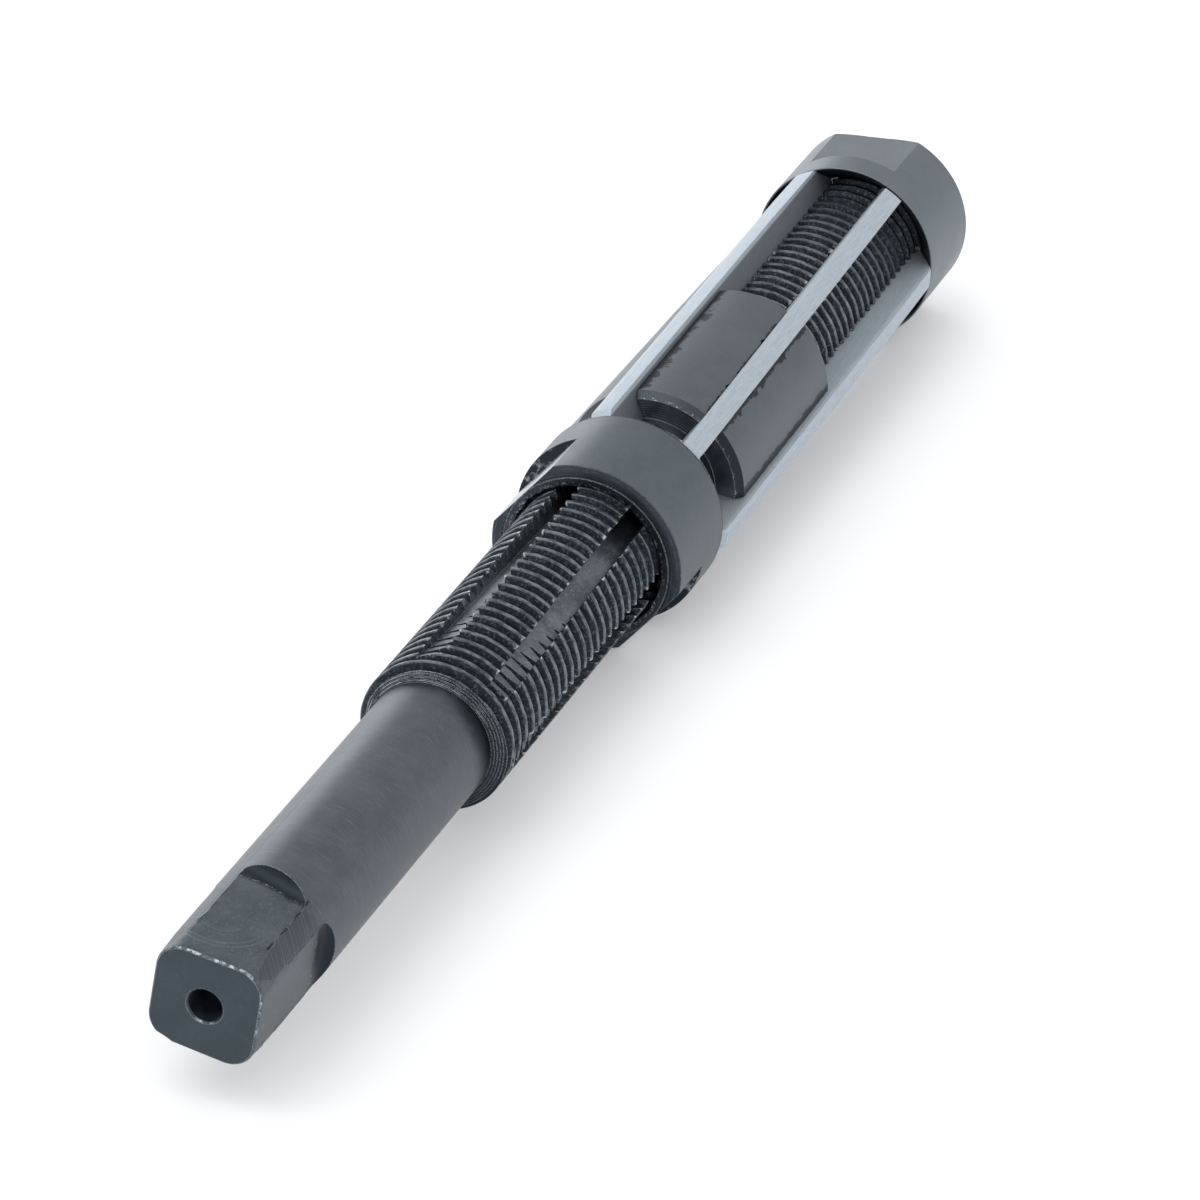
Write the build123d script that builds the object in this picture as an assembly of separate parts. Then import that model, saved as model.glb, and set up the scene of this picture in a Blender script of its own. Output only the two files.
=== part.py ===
from build123d import *
import math
import os

# Adjustable hand reamer, lying down. One steel body carries a square drive, a plain
# shank, two threaded lengths and a thicker land between them. Six blades lie in slots
# that get deeper towards the pilot end and are cut slightly askew. Two nuts with conical
# mouths, facing each other, hold the blades by their bevelled ends. Run towards the shank
# together, the nuts push the blades up the slots and the cutting circle grows.
# Sizes are in millimetres and degrees. Stations are counted along the axis from the
# face of the square end. Angles round the axis are counted from straight up, towards
# the right of someone who looks from the square end to the pilot end.

# Shank and square drive
shank_dia = 11.3
shank_len = 45.4
square_flats = 9.4
square_len = 11.5
square_angle = 10.3
square_run_out_r = 1.5
end_edge = 0.25

# Threaded lengths, drawn plain at the crest of the thread
thread_dia = 14.0
upper_len = 53.0
lower_len = 40.6
shoulder_len = 0.6
pilot_chamfer = 0.8

# Land between the threads, with a turned neck at each end
land_dia = 17.5
land_len = 22.6
land_bevel_len = 0.8
land_bevel_depth = 0.6
neck_dia = 12.4
neck_len = 1.6

# Centre holes
drive_hole_dia = 3.0
drive_hole_depth = 7.0
drive_hole_chamfer = 0.2
pilot_hole_dia = 1.4
pilot_hole_depth = 2.5
pilot_sink_dia = 2.8
sink_half_angle = 30.0
drill_half_angle = 59.0

# Nuts: the wall is outside the thread, the lip is what the conical mouth leaves at the rim
nut_wall = 2.25
nut_len = 10.8
nut_flats = 16.2
nut_lip = 0.17
nut_cone_half_angle = 35.0
nut_face_round_width = 1.0
nut_face_round_len = 0.25
nut_thread_chamfer = 0.4
upper_flat_len = 6.1
lower_flat_len = 7.7
upper_flat_angle = -48.9
lower_flat_angle = -3.3
upper_rim_to_land = 6.8
lower_rim_to_land = 28.8

# Blades and their slots
blade_count = 6
blade_width = 2.0
cutting_dia = 19.0
blade_end_dia = 14.6
lead_len = 12.0
lead_drop = 0.1
relief_width = 0.55
relief_angle = 14.0
first_blade_angle = 37.8
slot_skew = 1.1
slot_slope = 1.9
slot_floor_end_dia = 5.3
slot_start = 1.6
slot_cutter_r = 25.0

# Clearances
blade_side_gap = 0.03
blade_floor_gap = 0.03
blade_cone_gap = 0.15
nut_thread_gap = 0.03

# Stations and radii that follow from the sizes above
land_from = shank_len + upper_len
land_to = land_from + land_len
body_len = land_to + lower_len
upper_rim = land_from - upper_rim_to_land
lower_rim = land_to + lower_rim_to_land
skew_centre = (upper_rim + lower_rim) / 2
shank_r = shank_dia / 2
thread_r = thread_dia / 2
land_r = land_dia / 2
neck_r = neck_dia / 2
nut_r = thread_r + nut_wall
nut_mouth_r = nut_r - nut_lip
nut_bore_r = thread_r + nut_thread_gap
cutting_r = cutting_dia / 2
slot_width = blade_width + 2 * blade_side_gap

# How far a cutter runs past the surface that it cuts
reach = 2 * nut_r

slope_tan = math.tan(math.radians(slot_slope))
cone_tan = math.tan(math.radians(nut_cone_half_angle))


def blade_angle(i):
    """Place of blade i round the axis, halfway along the blades."""
    return first_blade_angle + i * 360 / blade_count


def floor_radius(x):
    """Distance from the axis to the floor of a slot at station x."""
    return slot_floor_end_dia / 2 + (body_len - x) * slope_tan


def turned(outline):
    """A solid of revolution about the axis, from edges or from (station, radius) points."""
    if isinstance(outline, list):
        outline = Polyline(*outline, close=True)
    return revolve(make_face(outline), Axis.X)


def side_cut(edges, width):
    """A plate of a width, centred on the axis, from a closed side view."""
    face = Plane.XZ * make_face(edges)
    return extrude(face, width / 2, both=True)


def askew(piece, angle):
    """Turn a piece drawn straight up to its slot's skew and its place round the axis."""
    swing = Pos(skew_centre, 0, 0) * Rot(0, 0, slot_skew) * Pos(-skew_centre, 0, 0)
    return Rot(angle, 0, 0) * swing * piece


def slot_cutter():
    """One slot: a sloping floor that a round cutter runs out of behind the shank."""
    slope = math.radians(slot_slope)
    start_x = shank_len + slot_start
    rise = (thread_r - floor_radius(start_x)) * math.cos(slope)
    along = math.sqrt(rise * (2 * slot_cutter_r - rise))
    foot_x = start_x + along * math.cos(slope) - rise * math.sin(slope)
    foot = (foot_x, floor_radius(foot_x))
    start = (start_x, thread_r)
    past_end = body_len + reach
    run_out = TangentArc(foot, start, tangent=(-1, slope_tan))
    rest = Polyline(start, (start_x, reach), (past_end, reach),
                    (past_end, floor_radius(past_end)), foot)
    return side_cut(run_out + rest, slot_width)


def square_cutters():
    """Four flats of the drive square, each ending in the hollow that its cutter leaves."""
    flat_r = square_flats / 2
    hollow_r = flat_r + square_run_out_r
    hollow_end = square_len + square_run_out_r
    hollow = CenterArc((square_len, hollow_r), square_run_out_r, -90, 90)
    rest = Polyline((hollow_end, hollow_r), (hollow_end, hollow_r + reach),
                    (-reach, hollow_r + reach), (-reach, flat_r), (square_len, flat_r))
    cutter = side_cut(hollow + rest, 2 * shank_dia)
    return [Rot(square_angle + 90 * i, 0, 0) * cutter for i in range(4)]


def drive_hole():
    """The centre hole in the square end, with a drill point and a broken edge."""
    r = drive_hole_dia / 2
    tip = drive_hole_depth + r / math.tan(math.radians(drill_half_angle))
    mouth_r = r + drive_hole_chamfer
    return turned([(-reach, 0), (-reach, mouth_r), (0, mouth_r), (drive_hole_chamfer, r),
                   (drive_hole_depth, r), (tip, 0)])


def pilot_hole():
    """The centre hole in the pilot end, with its sixty degree countersink."""
    r = pilot_hole_dia / 2
    mouth_r = pilot_sink_dia / 2
    sink_len = (mouth_r - r) / math.tan(math.radians(sink_half_angle))
    drilled = sink_len + pilot_hole_depth
    tip = drilled + r / math.tan(math.radians(drill_half_angle))
    points = [(reach, 0), (reach, mouth_r), (0, mouth_r),
              (-sink_len, r), (-drilled, r), (-tip, 0)]
    return Pos(body_len, 0, 0) * turned(points)


def body():
    """The one-piece body: turned, slotted, squared at one end and centred at both."""
    bevel_r = land_r - land_bevel_depth
    shoulder = land_from - land_bevel_len
    piece = turned([
        (0, 0), (0, shank_r - end_edge), (end_edge, shank_r), (shank_len, shank_r),
        (shank_len + shoulder_len, thread_r), (shoulder - neck_len, thread_r),
        (shoulder - neck_len, neck_r), (shoulder, neck_r), (shoulder, bevel_r),
        (land_from, land_r), (land_to, land_r), (land_to, neck_r),
        (land_to + neck_len, neck_r), (land_to + neck_len, thread_r),
        (body_len - pilot_chamfer, thread_r), (body_len, thread_r - pilot_chamfer), (body_len, 0)])
    slot = slot_cutter()
    piece -= [askew(slot, blade_angle(i)) for i in range(blade_count)]
    piece -= square_cutters()
    piece -= [drive_hole(), pilot_hole()]
    return piece


def blade():
    """One blade, standing straight up: bevelled ends, a lead at the pilot end, a relief."""
    gap_r = blade_cone_gap / math.cos(math.radians(nut_cone_half_angle))
    seat_r = nut_mouth_r - gap_r
    end_r = blade_end_dia / 2
    lead_r = cutting_r - lead_drop
    inside = (seat_r - end_r) / cone_tan
    upper_end = upper_rim - inside
    lower_end = lower_rim + inside
    upper_top = upper_rim + (cutting_r - seat_r) / cone_tan
    lower_top = lower_rim - (lead_r - seat_r) / cone_tan
    envelope = turned([(upper_end, 0), (upper_end, end_r), (upper_top, cutting_r),
                       (lower_top - lead_len, cutting_r), (lower_top, lead_r),
                       (lower_end, end_r), (lower_end, 0)])
    low, high = upper_end - reach, lower_end + reach
    outline = Polyline((low, floor_radius(low) + blade_floor_gap), (low, reach), (high, reach),
                       (high, floor_radius(high) + blade_floor_gap), close=True)
    bar = side_cut(outline, blade_width)
    relief = Pos(skew_centre, blade_width / 2 - relief_width, cutting_r) * Rot(-relief_angle, 0, 0)
    relief *= Box(2 * body_len, reach, reach, align=(Align.CENTER, Align.MIN, Align.MIN))
    return askew(bar - relief, 0) & envelope


def nut(flat_len, flat_angle):
    """One nut, its outer face at station 0 and its conical mouth at station nut_len."""
    face_r = nut_r - nut_face_round_width
    throat = nut_len - (nut_mouth_r - nut_bore_r) / cone_tan
    rounded_edge = TangentArc((0, face_r), (nut_face_round_len, nut_r), tangent=(0, 1))
    rest = Polyline((nut_face_round_len, nut_r), (nut_len, nut_r), (nut_len, nut_mouth_r),
                    (throat, nut_bore_r), (nut_thread_chamfer, nut_bore_r),
                    (0, nut_bore_r + nut_thread_chamfer), (0, face_r))
    piece = turned(rounded_edge + rest)
    flat = Pos(flat_len, 0, nut_flats / 2) * Box(
        2 * flat_len, 2 * reach, reach, align=(Align.MAX, Align.CENTER, Align.MIN))
    return piece - [Rot(flat_angle + turn, 0, 0) * flat for turn in (0, 180)]


def parts():
    """Every piece by its node name, in stations, with the axis on the X axis."""
    upright = blade()
    pieces = {"body": body()}
    for i in range(blade_count):
        pieces[f"blade_{i + 1}"] = Rot(blade_angle(i), 0, 0) * upright
    pieces["upper_nut"] = Pos(upper_rim - nut_len, 0, 0) * nut(upper_flat_len, upper_flat_angle)
    turned_round = Rot(0, 0, 180) * nut(lower_flat_len, -lower_flat_angle)
    pieces["lower_nut"] = Pos(lower_rim + nut_len, 0, 0) * turned_round
    return pieces


# The frame's origin is under the middle of the body, on the surface it lies on.
on_the_bench = Pos(-body_len / 2, 0, nut_r)

os.makedirs("parts", exist_ok=True)
for name, piece in parts().items():
    export_step(on_the_bench * piece, f"parts/{name}.step")
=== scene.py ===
import bpy
import bmesh
import math
from mathutils import Matrix, Vector, noise


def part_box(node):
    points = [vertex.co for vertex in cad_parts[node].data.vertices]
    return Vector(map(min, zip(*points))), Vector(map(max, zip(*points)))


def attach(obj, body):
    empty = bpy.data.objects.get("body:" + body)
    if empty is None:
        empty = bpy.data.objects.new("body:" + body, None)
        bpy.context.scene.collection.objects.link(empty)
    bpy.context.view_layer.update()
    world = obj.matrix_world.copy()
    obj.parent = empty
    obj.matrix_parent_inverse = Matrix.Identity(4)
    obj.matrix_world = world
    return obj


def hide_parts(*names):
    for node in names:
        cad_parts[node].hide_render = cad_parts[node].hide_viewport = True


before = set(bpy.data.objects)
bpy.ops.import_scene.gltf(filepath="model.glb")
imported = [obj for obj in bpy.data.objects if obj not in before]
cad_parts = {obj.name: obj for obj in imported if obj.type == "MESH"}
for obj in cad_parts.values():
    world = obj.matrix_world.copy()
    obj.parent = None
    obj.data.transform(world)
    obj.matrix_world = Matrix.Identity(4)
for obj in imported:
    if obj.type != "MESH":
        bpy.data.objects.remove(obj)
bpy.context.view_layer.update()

# Meshes are drawn in millimetres with the tool's axis on X, counted from the square end's face,
# and then put where the frame has them. Angles round the axis are degrees from straight up.
millimetre = 0.001
bodyLow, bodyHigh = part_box("body")
upperLow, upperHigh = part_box("upper_nut")
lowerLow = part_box("lower_nut")[0]
axisHeight = (upperLow.z + upperHigh.z) / 2
intoFrame = Matrix.Translation((bodyLow.x, 0, axisHeight)) @ Matrix.Scale(millimetre, 4)


def station(x):
    return (x - bodyLow.x) / millimetre


bodyLength = station(bodyHigh.x)
upperRim = station(upperHigh.x)
lowerRim = station(lowerLow.x)
nutLength = upperRim - station(upperLow.x)
skewCentre = (upperRim + lowerRim) / 2
print("frame loaded, body", round(bodyLength, 2), "mm, nut rims at", round(upperRim, 2), round(lowerRim, 2))


# Nodes of the materials

def nodeTree(name):
    material = bpy.data.materials.new(name)
    material.use_nodes = True
    return material, material.node_tree, material.node_tree.nodes["Principled BSDF"]


def fill(tree, socket, value):
    # a number or a colour is set on the socket, another node's output is linked to it
    if isinstance(value, (tuple, list)):
        socket.default_value = (*value, 1.0)
    elif isinstance(value, (int, float)):
        socket.default_value = value
    else:
        tree.links.new(value, socket)


def coordinates(tree, scale=(1, 1, 1)):
    # object coordinates in millimetres from the axis, at the square end
    source = tree.nodes.new("ShaderNodeTexCoord")
    mapping = tree.nodes.new("ShaderNodeMapping")
    mapping.vector_type = "POINT"
    metre = 1 / millimetre
    mapping.inputs["Location"].default_value = (-bodyLow.x * metre * scale[0], 0, -axisHeight * metre * scale[2])
    mapping.inputs["Scale"].default_value = [metre * s for s in scale]
    tree.links.new(source.outputs["Object"], mapping.inputs["Vector"])
    return mapping.outputs["Vector"]


def components(tree, vector):
    node = tree.nodes.new("ShaderNodeSeparateXYZ")
    tree.links.new(vector, node.inputs[0])
    return node.outputs


def arithmetic(tree, operation, *values):
    node = tree.nodes.new("ShaderNodeMath")
    node.operation = operation
    for value, socket in zip(values, node.inputs):
        fill(tree, socket, value)
    return node.outputs[0]


def plus(tree, first, second):
    return arithmetic(tree, "ADD", first, second)


def minus(tree, first, second):
    return arithmetic(tree, "SUBTRACT", first, second)


def times(tree, product, *factors):
    for factor in factors:
        product = arithmetic(tree, "MULTIPLY", product, factor)
    return product


def absolute(tree, value):
    return arithmetic(tree, "ABSOLUTE", value)


def mixture(tree, first, second, share):
    return plus(tree, times(tree, first, share), times(tree, second, 1 - share))


def speckle(tree, vector, scale, detail=4.0, roughness=0.6):
    node = tree.nodes.new("ShaderNodeTexNoise")
    node.inputs["Scale"].default_value = scale
    node.inputs["Detail"].default_value = detail
    node.inputs["Roughness"].default_value = roughness
    tree.links.new(vector, node.inputs["Vector"])
    return node.outputs["Fac"]


def waves(tree, value, scale, detail):
    # noise along a single value
    node = tree.nodes.new("ShaderNodeTexNoise")
    node.noise_dimensions = "1D"
    node.inputs["Scale"].default_value = scale
    node.inputs["Detail"].default_value = detail
    tree.links.new(value, node.inputs["W"])
    return node.outputs["Fac"]


def ramp(tree, factor, low, high, start=0.0, end=1.0):
    node = tree.nodes.new("ShaderNodeMapRange")
    node.interpolation_type = "SMOOTHSTEP"
    node.inputs["From Min"].default_value = low
    node.inputs["From Max"].default_value = high
    node.inputs["To Min"].default_value = start
    node.inputs["To Max"].default_value = end
    tree.links.new(factor, node.inputs["Value"])
    return node.outputs["Result"]


def rampRound(tree, angle, low, high, start=0.0, end=1.0):
    # a ramp between two places round the axis, in degrees
    return ramp(tree, angle, math.radians(low), math.radians(high), start, end)


def patches(tree, vector, grain, low, high, start=0.0, end=1.0):
    # noise of a (scale, detail, roughness), made patches by a ramp
    return ramp(tree, speckle(tree, vector, *grain), low, high, start, end)


def wandering(tree, vector, grain, reach):
    # noise about nought, for a border that wanders
    return times(tree, minus(tree, speckle(tree, vector, *grain), 0.5), reach)


def blendColour(tree, factor, first, second):
    node = tree.nodes.new("ShaderNodeMix")
    node.data_type = "RGBA"
    for socket, value in ((0, factor), (6, first), (7, second)):
        fill(tree, node.inputs[socket], value)
    return node.outputs[2]


def shaded(colour, share):
    return [share * c for c in colour]


def bump(tree, height, distance, normal=None, strength=1.0):
    node = tree.nodes.new("ShaderNodeBump")
    node.inputs["Distance"].default_value = distance * millimetre
    node.inputs["Strength"].default_value = strength
    tree.links.new(height, node.inputs["Height"])
    if normal is not None:
        tree.links.new(normal, node.inputs["Normal"])
    return node.outputs["Normal"]


edgeLook = {"samples": 4, "turned": (0.995, 0.90)}       # by the cosine between the surface and its bevel


def wornEdge(tree, radius):
    # 1 where a bevel of that radius would turn the surface, and the bevelled normal itself
    bevel = tree.nodes.new("ShaderNodeBevel")
    bevel.samples = edgeLook["samples"]
    bevel.inputs["Radius"].default_value = radius * millimetre
    geometry = tree.nodes.new("ShaderNodeNewGeometry")
    dot = tree.nodes.new("ShaderNodeVectorMath")
    dot.operation = "DOT_PRODUCT"
    tree.links.new(bevel.outputs["Normal"], dot.inputs[0])
    tree.links.new(geometry.outputs["Normal"], dot.inputs[1])
    return ramp(tree, dot.outputs["Value"], *edgeLook["turned"]), bevel.outputs["Normal"]


def facingEnds(tree):
    # 1 where the surface faces along the axis, 0 where it faces straight out from it
    geometry = tree.nodes.new("ShaderNodeNewGeometry")
    return absolute(tree, components(tree, geometry.outputs["Normal"])[0])


def roundTheAxis(tree, vector):
    # station, distance from the axis and angle from straight up in radians, as sockets
    along, across, up = components(tree, vector)
    radius = arithmetic(tree, "SQRT", plus(tree, times(tree, across, across), times(tree, up, up)))
    return along, radius, arithmetic(tree, "ARCTAN2", times(tree, across, -1.0), up)


def fromNearest(tree, angle, first, count):
    # the angle from the nearest of several places evenly spaced round the axis
    half = math.pi / count
    return arithmetic(tree, "WRAP", minus(tree, angle, math.radians(first)), half, -half)


def besideSlot(tree, along, radius, angle, lean=0.0):
    # distance from the wall of the nearest slot, in millimetres
    across = times(tree, fromNearest(tree, angle, slots["first"], slots["count"]), radius)
    askew = times(tree, minus(tree, along, skewCentre), math.tan(math.radians(slots["skew"])))
    middle = plus(tree, across, minus(tree, askew, lean))
    return minus(tree, absolute(tree, middle), slots["halfWidth"])


def finishMetal(tree, shader, colour, roughness, normal):
    for socket, value in (("Base Color", colour), ("Metallic", 1.0), ("Roughness", roughness), ("Normal", normal)):
        fill(tree, shader.inputs[socket], value)


# Steel finishes. Patches are ((noise scale, detail, roughness), from, to), and strokes and stretches
# are the scale of the noise along and across the axis. Depths and edges are in millimetres.

oxide = {
    "cloud": (0.30, 5.0, 0.65), "grain": (8.0, 3.0), "stroke": (1.0, 2.0), "cloudShare": 0.6, "tone": (0.36, 0.64),
    "scratched": (0.58, 0.74), "scoured": (0.42, 0.28), "scourShade": 0.5, "edgePatches": (0.34, 0.60),
    "roughTone": (0.35, 0.65)}


def oxideSteel(name, finish, marks=None):
    # black oxide over a turned or ground surface: soft clouds, fine grain, short scratches round the axis
    material, tree, shader = nodeTree(name)
    place = coordinates(tree)
    grain = speckle(tree, place, *oxide["grain"])
    strokes = speckle(tree, coordinates(tree, finish["strokes"]), *oxide["stroke"])
    tone = mixture(tree, speckle(tree, place, *oxide["cloud"]), grain, oxide["cloudShare"])
    colour = blendColour(tree, ramp(tree, tone, *oxide["tone"]), finish["dark"], finish["light"])
    scratched = ramp(tree, strokes, *oxide["scratched"], 0.0, finish["scratch"])
    colour = blendColour(tree, scratched, colour, finish["worn"])
    scoured = ramp(tree, strokes, *oxide["scoured"], 0.0, finish["scratch"])
    colour = blendColour(tree, scoured, colour, shaded(finish["dark"], oxide["scourShade"]))
    if marks:
        colour = marks(tree, place, colour, finish)
    edge, rounded = wornEdge(tree, finish["edge"])
    patchy = times(tree, edge, ramp(tree, grain, *oxide["edgePatches"]))
    colour = blendColour(tree, patchy, colour, finish["worn"])
    roughness = ramp(tree, tone, *oxide["roughTone"], *finish["roughness"])
    fine = bump(tree, strokes, finish["strokeDepth"], rounded)
    finishMetal(tree, shader, colour, roughness, bump(tree, grain, finish["grainDepth"], fine))
    return material


shankFinish = {
    "dark": (0.082, 0.096, 0.108), "light": (0.112, 0.128, 0.143), "worn": (0.34, 0.38, 0.41),
    "rimWear": (0.42, 0.47, 0.51), "roughness": (0.35, 0.46), "strokes": (14.0, 0.5, 0.5), "scratch": 0.20,
    "strokeDepth": 0.005, "grainDepth": 0.006, "edge": 0.06}
faceFinish = {
    **shankFinish, "dark": (0.052, 0.066, 0.076), "light": (0.063, 0.079, 0.090), "strokes": (2.0, 2.0, 2.0),
    "scratch": 0.04, "edge": 0.12}
holeFinish = {**shankFinish, "dark": (0.20, 0.25, 0.30), "light": (0.28, 0.34, 0.40), "scratch": 0.05}
slotFinish = {
    **shankFinish, "dark": (0.058, 0.070, 0.080), "light": (0.178, 0.203, 0.223), "scratch": 0.30,
    "strokes": (1.6, 3.6, 3.6), "grainDepth": 0.018}
# the nut's bore and mouth are given lighter colours than the slots: painted light in the shaded recess
nutInsidePaintedLight = {**slotFinish, "dark": (0.13, 0.155, 0.175), "light": (0.19, 0.22, 0.245)}


landFinish = {
    **shankFinish, "dark": (0.092, 0.108, 0.122), "light": (0.120, 0.138, 0.153), "scratch": 0.08,
    "strip": (0.022, 0.028, 0.033), "spots": (0.036, 0.043, 0.050),
    "stripWidth": ((0.75, 4.0, 0.55), 0.38, 0.66, 0.05, 0.46), "stripEdge": 0.10,
    "stripSpots": ((3.2, 4.0, 0.65), 0.50, 0.62),
    # the strips' lean and widening by angle are painted shade beside the blades
    "lean": (60, 85, 0.24, -0.6), "shadeWidening": (15, 0, 1.0, 2.4),      # by angle: how far aside, how much wider
    # the bevel's darker colour past its turn is painted shade
    "bevel": (0.060, 0.071, 0.080), "bevelShade": (0.026, 0.032, 0.038),
    "bevelShadeTurn": (38, 46), "bevelEdge": (0.02, -0.05),
    "chips": ((3.0, 4.0, 0.65), 0.56, 0.63), "chipHeight": 0.22}


def landMarks(tree, place, colour, finish):
    # black strips along the slots with ragged torn edges, widened and shifted by angle as painted shade beside the
    # blades, and a bevel with painted shade from about 46° round to the bottom and a chipped lower edge
    along, radius, angle = roundTheAxis(tree, place)
    # painted shade: the strips lean and widen by angle
    beside = besideSlot(tree, along, radius, angle, rampRound(tree, angle, *finish["lean"]))
    width = times(tree, patches(tree, place, *finish["stripWidth"]), rampRound(tree, angle, *finish["shadeWidening"]))
    onStrip = ramp(tree, minus(tree, width, beside), -finish["stripEdge"], finish["stripEdge"])
    strip = blendColour(tree, patches(tree, place, *finish["stripSpots"]), finish["strip"], finish["spots"])
    colour = blendColour(tree, onStrip, colour, strip)
    onBevel = ramp(tree, along, *[land["from"] + past for past in finish["bevelEdge"]])
    # painted shade on the bevel from about 46° round to the bottom
    bevel = blendColour(tree, rampRound(tree, angle, *finish["bevelShadeTurn"]), finish["bevel"], finish["bevelShade"])
    colour = blendColour(tree, onBevel, colour, bevel)
    foot = land["radius"] - land["bevelDepth"]
    low = ramp(tree, radius, foot + finish["chipHeight"], foot)
    return blendColour(tree, times(tree, patches(tree, place, *finish["chips"]), low), colour, finish["worn"])


shoulderFinish = {
    **faceFinish, "dark": (0.020, 0.026, 0.031), "light": (0.032, 0.040, 0.047), "ringPitch": 0.25,
    # the bright ring colour, left out on one side, is a painted highlight on the turning rings
    "ringColour": (0.36, 0.41, 0.45), "ringsTo": (70, 45), "ringLine": (0.35, 0.95),
    "ringGaps": ((0.9, 2.0), 0.35, 0.60)}
# the land's face is the shoulder's oxide in lighter colours: painted light in its recess between the nut and the
# blades
landFacePaintedLight = {
    **shoulderFinish, "dark": (0.16, 0.195, 0.225), "light": (0.22, 0.26, 0.295), "ringColour": (0.46, 0.51, 0.55)}
nutFaceFinish = {
    **shoulderFinish, "dark": (0.034, 0.043, 0.051), "light": (0.053, 0.064, 0.074), "ringPitch": 0.55,
    "ringColour": (0.062, 0.074, 0.084), "ringsTo": (225, 200), "edge": 0.10,      # rings all the way round
    "chipTo": (7.85, 7.50), "chips": ((2.4, 5.0, 0.7), 0.52, 0.60)}


def faceMarks(tree, place, colour, finish):
    # fine turning rings on a face, and chips round a thread's mouth; on the shoulders the bright rings are painted
    # highlights, left out from about 45° round to the bottom
    along, radius, angle = roundTheAxis(tree, place)
    wave = arithmetic(tree, "SINE", times(tree, radius, math.tau / finish["ringPitch"]))
    # on the shoulders the rings are painted highlights, kept to one side by ringsTo
    rings = times(tree, ramp(tree, wave, *finish["ringLine"]), patches(tree, place, *finish["ringGaps"]),
                  rampRound(tree, angle, *finish["ringsTo"]))
    colour = blendColour(tree, rings, colour, finish["ringColour"])
    if "chips" in finish:
        chips = times(tree, patches(tree, place, *finish["chips"]), ramp(tree, radius, *finish["chipTo"]))
        colour = blendColour(tree, chips, colour, finish["worn"])
    return colour


endWear = {
    "rimFacing": ((0.10, 0.30), (0.985, 0.90)), "rimTo": (0.50, 0.30), "outside": (2.0, 3.0),
    "outerWear": (30, -0.1, 0.4), "holeCrescent": (175, 0.72, 0.9),      # its middle, and the cosines it fades by
    "gaps": ((1.6, 5.0, 0.75), 0.46, 0.60)}


def wornRim(tree, place, colour, finish):
    # pale wear on the rounded rim of the square's end, and a pale crescent on the lower edge of its centre hole
    along, radius, angle = roundTheAxis(tree, place)
    facing = facingEnds(tree)
    rim = times(tree, ramp(tree, along, *endWear["rimTo"]),
                *[ramp(tree, facing, *span) for span in endWear["rimFacing"]])
    stretches = []
    for wear, span in (("outerWear", endWear["outside"]), ("holeCrescent", endWear["outside"][::-1])):
        middle, low, high = endWear[wear]
        near = arithmetic(tree, "COSINE", minus(tree, angle, math.radians(middle)))
        stretches.append(times(tree, ramp(tree, radius, *span), ramp(tree, near, low, high)))
    worn = times(tree, rim, plus(tree, *stretches), patches(tree, place, *endWear["gaps"]))
    return blendColour(tree, worn, colour, finish["rimWear"])


flatBorder = {
    "wander": ((1.2, 4.0, 0.7), 0.10), "line": (0.030, 0.008), "gaps": ((0.8, 2.0), 0.36, 0.60),
    "from": (1.2, 3.5), "fade": 0.4, "sides": (-0.1, 0.1, 0.35, 1.0), "shade": 0.28}


def raggedBorder(tree, place, colour, finish):
    # a dark, broken line where a flat meets the round, as far as the hollow
    along, radius, angle = roundTheAxis(tree, place)
    turn = fromNearest(tree, angle, driveSquare["turn"], 4)
    border = math.acos(driveSquare["flats"] / 2 / shank["radius"])
    off = minus(tree, absolute(tree, turn), border)
    off = absolute(tree, plus(tree, off, wandering(tree, place, *flatBorder["wander"])))
    line = times(tree, ramp(tree, off, *flatBorder["line"]), patches(tree, place, *flatBorder["gaps"]),
                 ramp(tree, along, *flatBorder["from"]),
                 ramp(tree, along, driveSquare["length"] + flatBorder["fade"], driveSquare["length"]),
                 ramp(tree, turn, *flatBorder["sides"]))
    return blendColour(tree, line, colour, shaded(finish["dark"], flatBorder["shade"]))


shankMarks = {
    "stripe": (0.050, 0.060, 0.068), "stripeShare": 0.55, "stripeFade": (0.5, -1.5),
    "fileSlant": (4.2, 14.0), "fileStroke": (1.0, 3.0), "fileLine": (0.50, 0.68, 0.0, 0.13),
    # painted shade on the shank just before the shoulder, where the shoulder shades it
    "shadeBeforeShoulder": (0.020, 0.026, 0.031), "shadeBeforeShoulderRound": ((15, 50), (112, 80)), "shadeBeforeShoulderAlong": (41.6, 44.4, 0.0, 0.92),
    "shadeBeforeShoulderWander": ((0.35, 2.0), 3.0)}


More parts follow.
